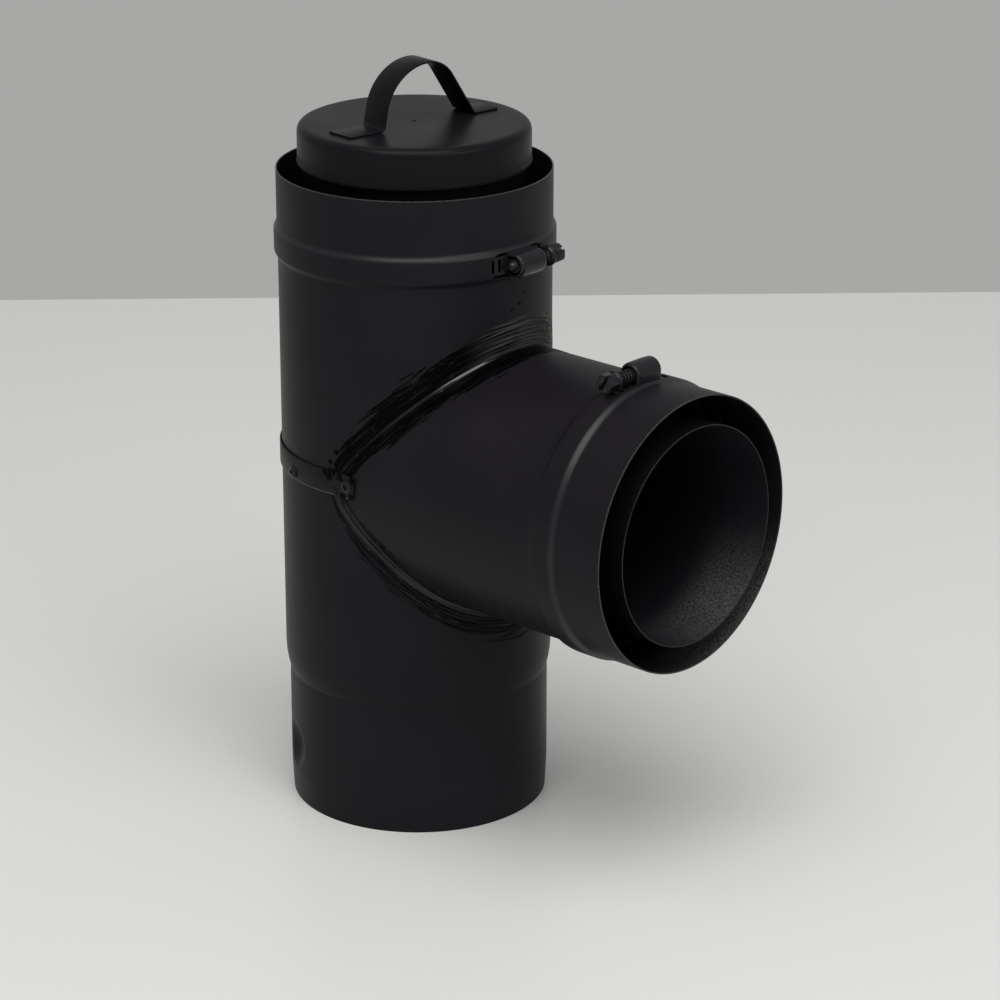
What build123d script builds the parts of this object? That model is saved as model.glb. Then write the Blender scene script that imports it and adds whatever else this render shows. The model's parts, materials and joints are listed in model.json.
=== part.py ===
from build123d import *

import os
from math import cos, radians, sin, sqrt, tan

# A double-wall pellet vent tee: an outer casing with one swaged male end and two beaded female
# mouths, an inner flue held inside it by spacer clips, two worm-drive locking bands that lie in the
# beads, a riveted saddle strap, brushed sealant along the seam, and a lift-out cap with a handle.
# Millimetres. The origin is the centre of the male end, +Z runs up the main tube, +X down the branch.

# Outer casing. The steps are differences in radius.
mouth_dia = 125.0
mouth_step = 0.3
saddle_step = 0.7
male_step = 2.0
lead_in_step = 0.7
outer_wall = 0.6
branch_axis_height = 167.0
neck_length = 72.9
branch_reach = 165.2
lead_in_length = 14.0
male_length = 63.0
swage_length = 12.0

# Rolled bead behind each mouth
bead_below_rim = 24.4
bead_rim_slope = 3.6
bead_flat = 9.0
bead_body_slope = 3.4
bead_rise = 1.4

# Pressed dimples of the male end: a deep pair, and a shallow pair a quarter turn on
dimple_height = 27.0
deep_dimple_angle = 60.0
deep_dimple_dia = 20.0
deep_dimple_depth = 3.5
shallow_dimple_angle = -30.0
shallow_dimple_dia = 14.0
shallow_dimple_depth = 1.0

# Inner flue
inner_dia = 100.0
inner_saddle_step = 0.3
inner_wall = 0.5
inner_main_standout = 1.5
inner_branch_standout = 2.3

# Spacer clips between the two walls
clip_count = 4
clip_first_angle = 15.0
clip_sheet = 0.8
clip_half_width = 6.0
clip_foot = 5.0
clip_length = 14.0
upper_clip_below_rim = 56.4
branch_clip_below_rim = 61.2
branch_clip_first_angle = 45.0

# Saddle strap and its blind rivets
strap_width = 11.0
strap_sheet = 0.9
strap_rise = 2.0
strap_end_margin = 4.2
body_rivet_angle = 109.0
body_rivet_drop = 2.2
flank_rivet_inset = 6.8
rivet_head_dia = 6.0
rivet_crown_dia = 3.6
rivet_head_height = 1.3
rivet_shank_dia = 3.2
rivet_bulb_dia = 4.6
rivet_bulb_length = 2.0

# Brushed sealant along the seam
sealant_skin = 0.7
sealant_body_width_crotch = 5.0
sealant_body_width_crown = 13.0
sealant_branch_width_crotch = 4.0
sealant_branch_width_crown = 16.5

# Worm-drive locking bands
band_width = 8.5
band_sheet = 0.55
band_layer_gap = 0.1
band_start_angle = -8.0
band_step_angle = -30.0
band_step_arc = 2.0
band_tail_arc = 58.0
band_slot_width = 1.6
band_slot_height = 6.0
band_slot_count = 17
band_slot_arc = 50.0
window_length = 34.0
window_width = 11.6
window_corner = 5.0
housing_length = 18.0
housing_sheet = 1.0
housing_lip = 1.2
screw_dia = 6.4
screw_tip = 1.0
screw_neck = 5.0
collar_dia = 9.4
collar_thickness = 3.0
hex_flats = 8.0
hex_length = 5.5
hex_chamfer = 0.7
driver_slot_width = 1.4
driver_slot_depth = 1.8

# Lift-out cap
cap_dia = 106.0
cap_sheet = 0.6
cap_height = 18.5
cap_top_bevel = 2.6
cap_lip_bevel = 1.2
cap_spigot_length = 24.0

# Cap handle, bent from strip
handle_width = 15.0
handle_sheet = 0.9
handle_angle = 7.5
handle_offset_x = 0.7
handle_offset_y = -0.5
handle_near_reach = 22.4
handle_rise = 27.3
handle_near_foot = 19.8
handle_far_foot = 13.5
handle_near_radius = 23.6
handle_near_turn = 80.0
handle_far_radius = 15.9
handle_far_turn = 57.0

# Fits
seat_gap = 0.05
strap_gap = 0.1
rivet_gap = 0.05
rivet_set_gap = 0.25
band_side_gap = 0.1
screw_gap = 0.15
thread_lift = 0.3
sealant_gap = 0.3
inner_socket_gap = 0.2
cap_gap = 0.3

mouth_r = mouth_dia / 2
main_r = mouth_r - mouth_step
branch_r = main_r - saddle_step
male_r = mouth_r - male_step
inner_r = inner_dia / 2
inner_branch_r = inner_r - inner_saddle_step
inner_bore_r = inner_r - inner_wall
inner_male_r = inner_bore_r - inner_socket_gap
swage_top = male_length + swage_length
main_height = branch_axis_height + mouth_r + neck_length
band_below_rim = bead_below_rim + bead_rim_slope + bead_flat / 2
seam_start = sqrt(main_r**2 - branch_r**2)
strap_height = branch_axis_height + strap_rise
flank_rivet_reach = seam_start + flank_rivet_inset
strap_tab_end = flank_rivet_reach + strap_end_margin

branch_section = Plane(origin=(0, 0, branch_axis_height), x_dir=(0, 0, 1), z_dir=(0, 1, 0))
branch_start = Plane(origin=(0, 0, branch_axis_height), x_dir=(0, 0, 1), z_dir=(1, 0, 0))
branch_axis = Axis((0, 0, branch_axis_height), (1, 0, 0))
top_clip_frame = Plane.XY.offset(main_height - band_below_rim)
branch_clip_frame = branch_start.offset(branch_reach - band_below_rim)

os.makedirs("parts", exist_ok=True)


def save(builder, name):
    """Label a finished piece and write it under its own name."""
    builder.part.label = name
    export_step(builder.part, f"parts/{name}.step")


def female_end(rim, body_radius):
    """Stations (outer radius, distance along the tube) from the body to a beaded mouth."""
    bead_top = rim - bead_below_rim
    flat_top = bead_top - bead_rim_slope
    flat_bottom = flat_top - bead_flat
    bead_bottom = flat_bottom - bead_body_slope
    crest = mouth_r + bead_rise
    return [
        (body_radius, bead_bottom),
        (crest, flat_bottom),
        (crest, flat_top),
        (mouth_r, bead_top),
        (mouth_r, rim),
    ]


def tube_wall(stations, wall):
    """Outline of a sheet wall, from its outer stations (radius, distance along the tube)."""
    inside = [(radius - wall, along) for radius, along in reversed(stations)]
    Polyline(*stations, *inside, close=True)


def rivet_planes(standoff):
    """Planes at the four strap rivets, facing outwards, a distance outside each tube's surface."""
    planes = []
    for side in (-1, 1):
        turn = radians(side * body_rivet_angle)
        outward = Vector(cos(turn), sin(turn), 0)
        seat = outward * (main_r + standoff) + Vector(0, 0, strap_height - body_rivet_drop)
        planes.append(Plane(origin=seat, z_dir=outward))
        flank = Vector(flank_rivet_reach, side * (branch_r + standoff), strap_height)
        planes.append(Plane(origin=flank, z_dir=(0, side, 0)))
    return planes


def clip_window():
    """Rounded window in a bead, seen along the radius through the worm housing."""
    RectangleRounded(window_width, window_length, window_corner)


# Outer main tube
with BuildPart() as outer_main_tube:
    with BuildSketch(Plane.XZ):
        with BuildLine():
            tube_wall(
                [
                    (male_r - lead_in_step, 0),
                    (male_r, lead_in_length),
                    (male_r, male_length),
                    (main_r, swage_top),
                    *female_end(main_height, main_r),
                ],
                outer_wall,
            )
        make_face()
    revolve(axis=Axis.Z)
    # Opening for the branch
    with BuildSketch(branch_start):
        Circle(branch_r - outer_wall)
    extrude(amount=mouth_dia, mode=Mode.SUBTRACT)
    # Window for the worm housing
    with BuildSketch(Plane(origin=top_clip_frame.origin, x_dir=(0, 0, 1), z_dir=(1, 0, 0))):
        clip_window()
    extrude(amount=mouth_dia, mode=Mode.SUBTRACT)
    # Dimples pressed into the male end, each with its bulge inside
    for angle, dia, depth in (
        (deep_dimple_angle, deep_dimple_dia, deep_dimple_depth),
        (shallow_dimple_angle, shallow_dimple_dia, shallow_dimple_depth),
    ):
        press_r = ((dia / 2) ** 2 + depth**2) / (2 * depth)
        with BuildPart(mode=Mode.PRIVATE) as bulges:
            with Locations((0, 0, dimple_height)):
                with PolarLocations(male_r - depth + press_r, 2, angle):
                    Sphere(press_r + outer_wall)
                Cylinder(male_r - outer_wall / 2, 2 * dia, mode=Mode.INTERSECT)
        add(bulges.part)
        with Locations((0, 0, dimple_height)):
            with PolarLocations(male_r - depth + press_r, 2, angle):
                Sphere(press_r, mode=Mode.SUBTRACT)
    # Rivet holes under the strap
    with Locations(*rivet_planes(0)):
        Cylinder(rivet_shank_dia / 2 + rivet_gap, 2 * rivet_bulb_dia, mode=Mode.SUBTRACT)
save(outer_main_tube, "outer_main_tube")

# Outer branch tube, cut to the saddle of the main tube
with BuildPart() as outer_branch_tube:
    with BuildSketch(branch_section):
        with BuildLine():
            tube_wall([(branch_r, 0), *female_end(branch_reach, branch_r)], outer_wall)
        make_face()
    revolve(axis=branch_axis)
    with BuildSketch(Plane.XY):
        Circle(main_r + seat_gap)
    extrude(amount=main_height, mode=Mode.SUBTRACT)
    with BuildSketch(Plane.XY.offset(branch_axis_height)):
        with Locations((branch_reach - band_below_rim, 0)):
            clip_window()
    extrude(amount=mouth_dia, mode=Mode.SUBTRACT)
    with Locations(*rivet_planes(0)):
        Cylinder(rivet_shank_dia / 2 + rivet_gap, 2 * rivet_bulb_dia, mode=Mode.SUBTRACT)
save(outer_branch_tube, "outer_branch_tube")

# Inner main tube, with its own swaged spigot
inner_rim = main_height + inner_main_standout
with BuildPart() as inner_main_tube:
    with BuildSketch(Plane.XZ):
        with BuildLine():
            tube_wall(
                [
                    (inner_male_r, 0),
                    (inner_male_r, male_length),
                    (inner_r, swage_top),
                    (inner_r, inner_rim),
                ],
                inner_wall,
            )
        make_face()
    revolve(axis=Axis.Z)
    with BuildSketch(branch_start):
        Circle(inner_branch_r - inner_wall)
    extrude(amount=mouth_dia, mode=Mode.SUBTRACT)
save(inner_main_tube, "inner_main_tube")

# Inner branch tube, saddled on the inner main tube
with BuildPart() as inner_branch_tube:
    with BuildSketch(branch_start):
        Circle(inner_branch_r)
        Circle(inner_branch_r - inner_wall, mode=Mode.SUBTRACT)
    extrude(amount=branch_reach + inner_branch_standout)
    with BuildSketch(Plane.XY):
        Circle(inner_r + seat_gap)
    extrude(amount=main_height, mode=Mode.SUBTRACT)
save(inner_branch_tube, "inner_branch_tube")


def hat_section(seat_r, reach_r):
    """Hat-shaped strip between two concentric walls, with its feet curved to the inner one."""

    def on(radius, across):
        return (sqrt(radius**2 - across**2), across)

    def curve(radius, start, end):
        ThreePointArc(on(radius, start), on(radius, (start + end) / 2), on(radius, end))

    foot_top = seat_r + clip_sheet
    crown_under = reach_r - clip_sheet
    leg = clip_half_width - clip_sheet
    toe = clip_half_width + clip_foot
    with BuildSketch(mode=Mode.PRIVATE) as hat:
        with BuildLine():
            for side in (-1, 1):
                curve(seat_r, side * leg, side * toe)
                Line(on(seat_r, side * toe), on(foot_top, side * toe))
                curve(foot_top, side * toe, side * clip_half_width)
                Line(on(foot_top, side * clip_half_width), on(reach_r, side * clip_half_width))
                Line(on(seat_r, side * leg), on(crown_under, side * leg))
            curve(crown_under, -leg, leg)
            curve(reach_r, -clip_half_width, clip_half_width)
        make_face()
    return hat.sketch


def spacer_ring(plane, seat_r, reach_r, first_angle):
    """Ring of spacer clips, centred on a plane across the tube."""
    hat = hat_section(seat_r + seat_gap, reach_r - seat_gap)
    with BuildPart() as ring:
        with BuildSketch(plane):
            with PolarLocations(0, clip_count, first_angle):
                add(hat)
        extrude(amount=clip_length / 2, both=True)
    return ring


lower_spacers = spacer_ring(
    Plane.XY.offset(dimple_height),
    inner_male_r,
    male_r - outer_wall,
    clip_first_angle,
)
save(lower_spacers, "lower_spacers")

upper_spacers = spacer_ring(
    Plane.XY.offset(main_height - upper_clip_below_rim),
    inner_r,
    main_r - outer_wall,
    clip_first_angle,
)
save(upper_spacers, "upper_spacers")

branch_spacers = spacer_ring(
    branch_start.offset(branch_reach - branch_clip_below_rim),
    inner_branch_r,
    branch_r - outer_wall,
    branch_clip_first_angle,
)
save(branch_spacers, "branch_spacers")

# Saddle strap: round the back of the main tube, its ends flat on the flanks of the branch
with BuildPart() as saddle_strap:
    strap_in = main_r + strap_gap
    strap_out = strap_in + strap_sheet
    tab_in = branch_r + strap_gap
    tab_out = tab_in + strap_sheet
    with BuildSketch(Plane.XY.offset(strap_height)):
        with BuildLine():
            for radius, flank in ((strap_in, tab_in), (strap_out, tab_out)):
                corner = sqrt(radius**2 - flank**2)
                ThreePointArc((corner, -flank), (-radius, 0), (corner, flank))
                Line((corner, -flank), (strap_tab_end, -flank))
                Line((corner, flank), (strap_tab_end, flank))
            Line((strap_tab_end, -tab_in), (strap_tab_end, -tab_out))
            Line((strap_tab_end, tab_in), (strap_tab_end, tab_out))
        make_face()
    extrude(amount=strap_width / 2, both=True)
    with Locations(*rivet_planes(strap_gap)):
        Cylinder(rivet_shank_dia / 2 + rivet_gap, 4 * strap_sheet, mode=Mode.SUBTRACT)
save(saddle_strap, "saddle_strap")

# Blind rivets, each a coned head, a shank and a set end behind the sheet
rivet_grip = outer_wall + strap_gap + strap_sheet + rivet_set_gap
with BuildPart() as rivet:
    with BuildSketch(Plane.XZ):
        with BuildLine():
            Polyline(
                (0, rivet_head_height),
                (0, -rivet_grip - rivet_bulb_length),
                (rivet_bulb_dia / 2, -rivet_grip - rivet_bulb_length),
                (rivet_bulb_dia / 2, -rivet_grip),
                (rivet_shank_dia / 2, -rivet_grip),
                (rivet_shank_dia / 2, 0),
                (rivet_head_dia / 2, 0),
                (rivet_crown_dia / 2, rivet_head_height),
                close=True,
            )
        make_face()
    revolve(axis=Axis.Z)

with BuildPart() as strap_rivets:
    with Locations(*rivet_planes(strap_gap + strap_sheet)):
        add(rivet.part)
save(strap_rivets, "strap_rivets")

# Sealant brushed over both sides of the outer seam
with BuildPart() as seam_sealant:
    with BuildSketch(branch_start):
        Circle(branch_r + sealant_skin)
    extrude(amount=branch_reach / 2)
    with BuildSketch(Plane.XY):
        Circle(main_r + sealant_skin)
    extrude(amount=main_height)
    # The brushed zone widens from the strap to the crown, above and below
    with BuildSketch(branch_section):
        for side in (-1, 1):
            strap_edge = strap_width / 2 + side * strap_rise + sealant_gap
            body_edge = branch_r + sealant_body_width_crown
            branch_edge = main_r + sealant_branch_width_crown
            with BuildLine():
                Polyline(
                    (side * strap_edge, seam_start - sealant_body_width_crotch),
                    (side * body_edge, main_r),
                    (side * body_edge, branch_edge),
                    (side * branch_r, branch_edge),
                    (side * strap_edge, seam_start + sealant_branch_width_crotch + strap_edge),
                    close=True,
                )
            make_face()
    extrude(amount=mouth_dia, both=True, mode=Mode.INTERSECT)
    with BuildSketch(branch_start):
        Circle(branch_r + seat_gap)
    extrude(amount=branch_reach, mode=Mode.SUBTRACT)
    with BuildSketch(Plane.XY):
        Circle(main_r + seat_gap)
    extrude(amount=main_height, mode=Mode.SUBTRACT)
save(seam_sealant, "seam_sealant")

# Worm-drive locking band, in its own frame: tube axis Z, worm housing on +X, screw head towards +Y
band_outer = mouth_r + bead_rise - outer_wall - band_side_gap
tail_inner = band_outer - band_sheet
loop_outer = tail_inner - band_layer_gap
loop_inner = loop_outer - band_sheet
screw_axis_r = band_outer + thread_lift + screw_dia / 2
screw_bore = screw_dia / 2 + screw_gap
housing_tunnel = band_width / 2 + band_side_gap


def band_arc(start_angle, arc, inner, outer):
    """Stretch of the band: a flat section turned about the tube axis."""
    turn = radians(start_angle)
    section = Plane(origin=(0, 0, 0), x_dir=(cos(turn), sin(turn), 0), z_dir=(sin(turn), -cos(turn), 0))
    with BuildSketch(section) as strip:
        with Locations(((inner + outer) / 2, 0)):
            Rectangle(outer - inner, band_width)
    revolve(strip.sketch, axis=Axis.Z, revolution_arc=arc)


with BuildPart() as clip_band:
    band_arc(band_start_angle, 360 + band_step_angle + band_step_arc - band_start_angle, loop_inner, loop_outer)
    band_arc(band_step_angle, band_step_arc, loop_inner, band_outer)
    band_arc(band_step_angle, band_tail_arc, tail_inner, band_outer)
    # Worm slots of the tail
    with PolarLocations(
        (tail_inner + band_outer) / 2,
        band_slot_count,
        band_step_angle + 2 * band_step_arc,
        band_slot_arc,
        endpoint=True,
    ):
        Box(band_sheet + band_layer_gap, band_slot_width, band_slot_height, mode=Mode.SUBTRACT)

with BuildPart() as clip_housing:
    barrel = housing_tunnel + housing_sheet
    with BuildSketch(Plane.XZ):
        with Locations((screw_axis_r, 0)):
            Circle(barrel)
            Rectangle(barrel, 2 * barrel, align=(Align.MAX, Align.CENTER))
            Circle(housing_tunnel, mode=Mode.SUBTRACT)
            Rectangle(2 * barrel, 2 * housing_tunnel, align=(Align.MAX, Align.CENTER), mode=Mode.SUBTRACT)
        with Locations((loop_inner, 0)):
            Rectangle(4 * barrel, 2 * barrel, align=(Align.MIN, Align.CENTER), mode=Mode.INTERSECT)
    extrude(amount=housing_length / 2, both=True)
    # Turned-in lips that carry the screw at both ends
    for face_y in (-housing_length / 2, housing_length / 2 - housing_lip):
        with BuildSketch(Plane.XZ.offset(-face_y)):
            with Locations((screw_axis_r, 0)):
                Circle(barrel)
                Circle(screw_bore, mode=Mode.SUBTRACT)
            with Locations((band_outer + thread_lift, 0)):
                Rectangle(4 * barrel, 2 * barrel, align=(Align.MIN, Align.CENTER), mode=Mode.INTERSECT)
        extrude(amount=-housing_lip)

with BuildPart() as clip_screw:
    collar_y = housing_length / 2 + screw_neck
    head_y = collar_y + collar_thickness
    shank = Plane(origin=(screw_axis_r, 0, 0), x_dir=(1, 0, 0), z_dir=(0, 1, 0))
    with BuildSketch(shank.offset(-housing_length / 2 - screw_tip)):
        Circle(screw_dia / 2)
    extrude(amount=collar_y + housing_length / 2 + screw_tip)
    chamfer(clip_screw.edges().sort_by(Axis.Y)[0], screw_tip)
    with BuildSketch(shank.offset(collar_y)):
        Circle(collar_dia / 2)
    extrude(amount=collar_thickness)
    with BuildSketch(shank.offset(head_y)):
        RegularPolygon(hex_flats / 2, 6, major_radius=False)
    extrude(amount=hex_length)
    chamfer(clip_screw.faces().sort_by(Axis.Y)[-1].edges(), hex_chamfer)
    with BuildSketch(shank.offset(head_y + hex_length)):
        Rectangle(driver_slot_width, 2 * hex_flats)
    extrude(amount=-driver_slot_depth, mode=Mode.SUBTRACT)

for place, frame in (("top", top_clip_frame), ("branch", branch_clip_frame)):
    for piece, shape in (("band", clip_band), ("housing", clip_housing), ("screw", clip_screw)):
        with BuildPart(frame) as clip_piece:
            add(shape.part)
        save(clip_piece, f"{place}_clamp_{piece}")

# Lift-out cap: one spun shell, seated on the inner tube's rim with its spigot inside
cap_seat = inner_rim + cap_gap
cap_top = cap_seat + cap_height
cap_r = cap_dia / 2
spigot_r = inner_bore_r - cap_gap
with BuildPart() as cap_shell:
    # How far a bevel's ends step back along the sheet, from its outside to its inside
    bevel_inset = cap_sheet * tan(radians(45 / 2))
    with BuildSketch(Plane.XZ):
        with BuildLine():
            outside = [
                (spigot_r, cap_seat - cap_spigot_length),
                (spigot_r, cap_seat),
                (cap_r - cap_lip_bevel, cap_seat),
                (cap_r, cap_seat + cap_lip_bevel),
                (cap_r, cap_top - cap_top_bevel),
                (cap_r - cap_top_bevel, cap_top),
                (0, cap_top),
            ]
            inside = [
                (0, cap_top - cap_sheet),
                (cap_r - cap_top_bevel - bevel_inset, cap_top - cap_sheet),
                (cap_r - cap_sheet, cap_top - cap_top_bevel - bevel_inset),
                (cap_r - cap_sheet, cap_seat + cap_lip_bevel + bevel_inset),
                (cap_r - cap_lip_bevel - bevel_inset, cap_seat + cap_sheet),
                (spigot_r - cap_sheet, cap_seat + cap_sheet),
                (spigot_r - cap_sheet, cap_seat - cap_spigot_length),
            ]
            Polyline(*outside, *inside, close=True)
        make_face()
    revolve(axis=Axis.Z)
save(cap_shell, "cap_shell")

# Cap handle: two flat feet, a steep near leg, a rounded crown and a slanting far leg
handle_turn = radians(handle_angle)
handle_plane = Plane(
    origin=(handle_offset_x, handle_offset_y, cap_top),
    x_dir=(sin(handle_turn), cos(handle_turn), 0),
    z_dir=(cos(handle_turn), -sin(handle_turn), 0),
)
with BuildPart() as cap_handle:
    near_bend = -handle_near_reach
    near_slope = radians(handle_near_turn)
    far_slope = radians(handle_far_turn)
    leg_top = handle_rise - handle_near_radius * (1 - cos(near_slope))
    near_leg = (near_bend + leg_top * cos(near_slope) / sin(near_slope), leg_top)
    with BuildSketch(handle_plane):
        with BuildLine():
            Line((near_bend - handle_near_foot, 0), (near_bend, 0))
            Line((near_bend, 0), near_leg)
            near_arc = JernArc(
                near_leg, (cos(near_slope), sin(near_slope)), handle_near_radius, -handle_near_turn
            )
            far_arc = JernArc(near_arc @ 1, (1, 0), handle_far_radius, -handle_far_turn)
            far_end = far_arc @ 1
            far_bend = far_end.X + far_end.Y * cos(far_slope) / sin(far_slope)
            Line(far_end, (far_bend, 0))
            Line((far_bend, 0), (far_bend + handle_far_foot, 0))
            offset(amount=handle_sheet, side=Side.LEFT)
        make_face()
    extrude(amount=handle_width / 2, both=True)
save(cap_handle, "cap_handle")
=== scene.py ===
import json
from math import asin, cos, exp, pi, radians, sin, sqrt, tan

import bmesh
import bpy
from mathutils import Matrix, Vector, noise


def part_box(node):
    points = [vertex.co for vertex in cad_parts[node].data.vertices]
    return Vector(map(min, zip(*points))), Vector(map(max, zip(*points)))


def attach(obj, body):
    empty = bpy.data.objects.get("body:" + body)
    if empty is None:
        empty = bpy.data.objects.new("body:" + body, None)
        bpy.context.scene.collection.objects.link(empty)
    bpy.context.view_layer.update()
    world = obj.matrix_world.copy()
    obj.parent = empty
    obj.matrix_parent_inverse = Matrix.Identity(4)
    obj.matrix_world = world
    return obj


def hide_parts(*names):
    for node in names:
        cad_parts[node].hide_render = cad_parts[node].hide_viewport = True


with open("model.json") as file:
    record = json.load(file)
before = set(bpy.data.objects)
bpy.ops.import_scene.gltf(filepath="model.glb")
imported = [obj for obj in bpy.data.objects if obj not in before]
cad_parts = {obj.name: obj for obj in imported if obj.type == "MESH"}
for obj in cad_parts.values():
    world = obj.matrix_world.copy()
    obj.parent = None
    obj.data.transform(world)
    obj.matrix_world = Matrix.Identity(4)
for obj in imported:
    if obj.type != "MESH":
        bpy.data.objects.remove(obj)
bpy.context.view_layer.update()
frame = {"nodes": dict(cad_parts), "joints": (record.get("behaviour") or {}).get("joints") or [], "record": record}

# A black double-wall pellet vent tee. Metres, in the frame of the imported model: the origin is the
# centre of the male end, +Z runs up the main tube, +X down the branch.
mm = 0.001
mounts = {mount["name"]: mount for mount in frame["record"]["mounts"]}
turns = {joint["name"]: joint for joint in frame["joints"]}

# Heights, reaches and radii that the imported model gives
main_rim = mounts["top_mouth"]["pos_m"][2]
branch_rim, _, branch_z = mounts["branch_mouth"]["pos_m"]
lead_in_top = mounts["male_end"]["pos_m"][2]
male_r = mounts["male_end"]["dims"]["r_mm"] * mm
male_top = lead_in_top + mounts["male_end"]["dims"]["length_mm"] * mm
crest_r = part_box("outer_main_tube")[1].y
strap_low, strap_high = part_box("saddle_strap")
inner_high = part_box("inner_main_tube")[1]
inner_branch_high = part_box("inner_branch_tube")[1]
cap_low, cap_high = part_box("cap_shell")
handle_low, handle_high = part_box("cap_handle")
top_screw_at = Vector(turns["top_clamp_screw_turn"]["pos_m"])
branch_screw_at = Vector(turns["branch_clamp_screw_turn"]["pos_m"])
screw_low, screw_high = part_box("top_clamp_screw")
hood_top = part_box("top_clamp_housing")[1].x

# Sheet sizes of the casing and the flue
outer_wall = 0.6 * mm
outer_edge = 0.16 * mm
inner_wall = 0.5 * mm
inner_edge = 0.14 * mm
strap_sheet = 0.9 * mm
strap_gap = 0.1 * mm
mouth_step = 0.3 * mm
saddle_step = 0.7 * mm
saddle_gap = 0.05 * mm
lead_in_step = 0.7 * mm
swage_length = 12 * mm
fold_depth = 0.25 * mm
main_r = strap_high.y - strap_sheet - strap_gap
mouth_r = main_r + mouth_step
branch_r = main_r - saddle_step
inner_r = inner_high.y
inner_branch_r = inner_branch_high.y
inner_male_step = 0.7 * mm
inner_swage_round = 20 * mm

# Rolled bead and its window
bead_below_rim = 24.4 * mm
bead_rim_slope = 3.6 * mm
bead_flat = 9 * mm
bead_body_slope = 3.4 * mm
bead_slope_steps = 12
window_half_length = 17 * mm
window_half_width = 5.8 * mm

# Pressed dimples of the male end: angle, height, radius, depth
dimples = (
    (radians(60), 27 * mm, 11.4 * mm, 3.8 * mm),
    (radians(-120), 27 * mm, 11.4 * mm, 3.8 * mm),
    (radians(-30), 25 * mm, 6 * mm, 1.7 * mm),
    (radians(150), 25 * mm, 6 * mm, 1.7 * mm),
)
dimple_fall = 1.3
dimple_zone = (14 * mm, 40 * mm)


# Meshes

def mesh_piece(name, points, faces, edges=()):
    """An object at the origin from points, faces and loose edges, all of it smooth."""
    mesh = bpy.data.meshes.new(name)
    mesh.from_pydata(points, edges, faces)
    mesh.polygons.foreach_set("use_smooth", [True] * len(mesh.polygons))
    piece = bpy.data.objects.new(name, mesh)
    bpy.context.scene.collection.objects.link(piece)
    return piece


def rework(piece, change):
    """Let a function change the piece's mesh."""
    shape = bmesh.new()
    shape.from_mesh(piece.data)
    change(shape)
    shape.to_mesh(piece.data)
    shape.free()
    return piece


def merge(piece, reach=1e-7):
    """Join points that lie together and drop the faces that this empties."""

    def close(shape):
        bmesh.ops.remove_doubles(shape, verts=shape.verts, dist=reach)
        bmesh.ops.dissolve_degenerate(shape, edges=shape.edges, dist=reach)

    return rework(piece, close)


def outward(piece):
    """Turn all faces outwards."""
    return rework(piece, lambda shape: bmesh.ops.recalc_face_normals(shape, faces=shape.faces))


def absorb(piece, other):
    """Take another piece's mesh into this one."""
    rework(piece, lambda shape: shape.from_mesh(other.data))
    bpy.data.objects.remove(other)


def settle(piece, crease=None):
    """Keep the piece as its modifiers leave it, with edges sharper than the crease angle left crisp."""
    graph = bpy.context.evaluated_depsgraph_get()
    mesh = bpy.data.meshes.new_from_object(piece.evaluated_get(graph))
    mesh.name = piece.name
    piece.modifiers.clear()
    piece.data = mesh
    if crease is not None:
        mesh.polygons.foreach_set("use_smooth", [True] * len(mesh.polygons))
        mesh.set_sharp_from_angle(angle=crease)
    return piece


def ease(piece, edge, steps=2, angle=radians(50)):
    """Round the sharp edges."""
    rounding = piece.modifiers.new("edges", "BEVEL")
    rounding.width = edge
    rounding.segments = steps
    rounding.limit_method = "ANGLE"
    rounding.angle_limit = angle
    rounding.harden_normals = True


def thicken(piece, sheet, edge):
    """Give a skin its sheet inwards, and ease the edges that this makes."""
    wall = piece.modifiers.new("sheet", "SOLIDIFY")
    wall.thickness = sheet
    wall.offset = -1
    wall.use_even_offset = True
    ease(piece, edge)
    settle(piece)


def dress(piece, body, slot, finish, *nodes):
    """Paint a piece, let it ride on its body, and let it stand for its CAD nodes."""
    piece.data.materials.clear()
    piece.data.materials.append(finish)
    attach(piece, body)
    if nodes:
        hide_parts(*nodes)


# Lines, rings and grids of points

def evenly(low, high, count):
    """Even steps from low to high, both ends among them."""
    return [low + (high - low) * step / count for step in range(count + 1)]


def full_turn(count):
    """Even angles round a full turn."""
    return evenly(0, 2 * pi, count)[:-1]


def eased(start, corner, end, t):
    """Point of the curve that leads from start to end round a corner."""
    return start * (1 - t) ** 2 + corner * 2 * t * (1 - t) + end * t * t


def rounded(corners, steps=6):
    """A line through (across, along, radius) corners, each eased to about its radius."""
    line = [Vector(corners[0][:2])]
    for before, here, after in zip(corners, corners[1:], corners[2:]):
        corner = Vector(here[:2])
        back = Vector(before[:2]) - corner
        on = Vector(after[:2]) - corner
        turn = pi - back.angle(on)
        reach = min(here[2] * tan(turn / 2), 0.48 * back.length, 0.48 * on.length)
        start = corner + back.normalized() * reach
        end = corner + on.normalized() * reach
        line.extend(eased(start, corner, end, t) for t in evenly(0, 1, steps))
    line.append(Vector(corners[-1][:2]))
    return line


def divided(line, longest):
    """The same line with no run longer than longest(along)."""
    out = [line[0]]
    for start, end in zip(line, line[1:]):
        count = max(1, int((end - start).length / longest((start.y + end.y) / 2) + 0.999))
        out.extend(start.lerp(end, (step + 1) / count) for step in range(count))
    return out


def level_at(line, along):
    """Across distance of a line at a place along it."""
    if along <= line[0].y:
        return line[0].x
    for start, end in zip(line, line[1:]):
        if along <= end.y:
            run = end.y - start.y
            return end.x if run < 1e-12 else start.x + (end.x - start.x) * (along - start.y) / run
    return line[-1].x


def ring_faces(low, high, count):
    """Quads between two closed rings of points, from the number of each ring's first point."""
    return [(low + j, low + (j + 1) % count, high + (j + 1) % count, high + j) for j in range(count)]


def grid_faces(rows, wide):
    """Quads between rows of points, each row this many points wide."""
    return [
        (low + j, low + j + 1, low + wide + j + 1, low + wide + j)
        for low in range(0, (rows - 1) * wide, wide)
        for j in range(wide - 1)
    ]


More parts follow.
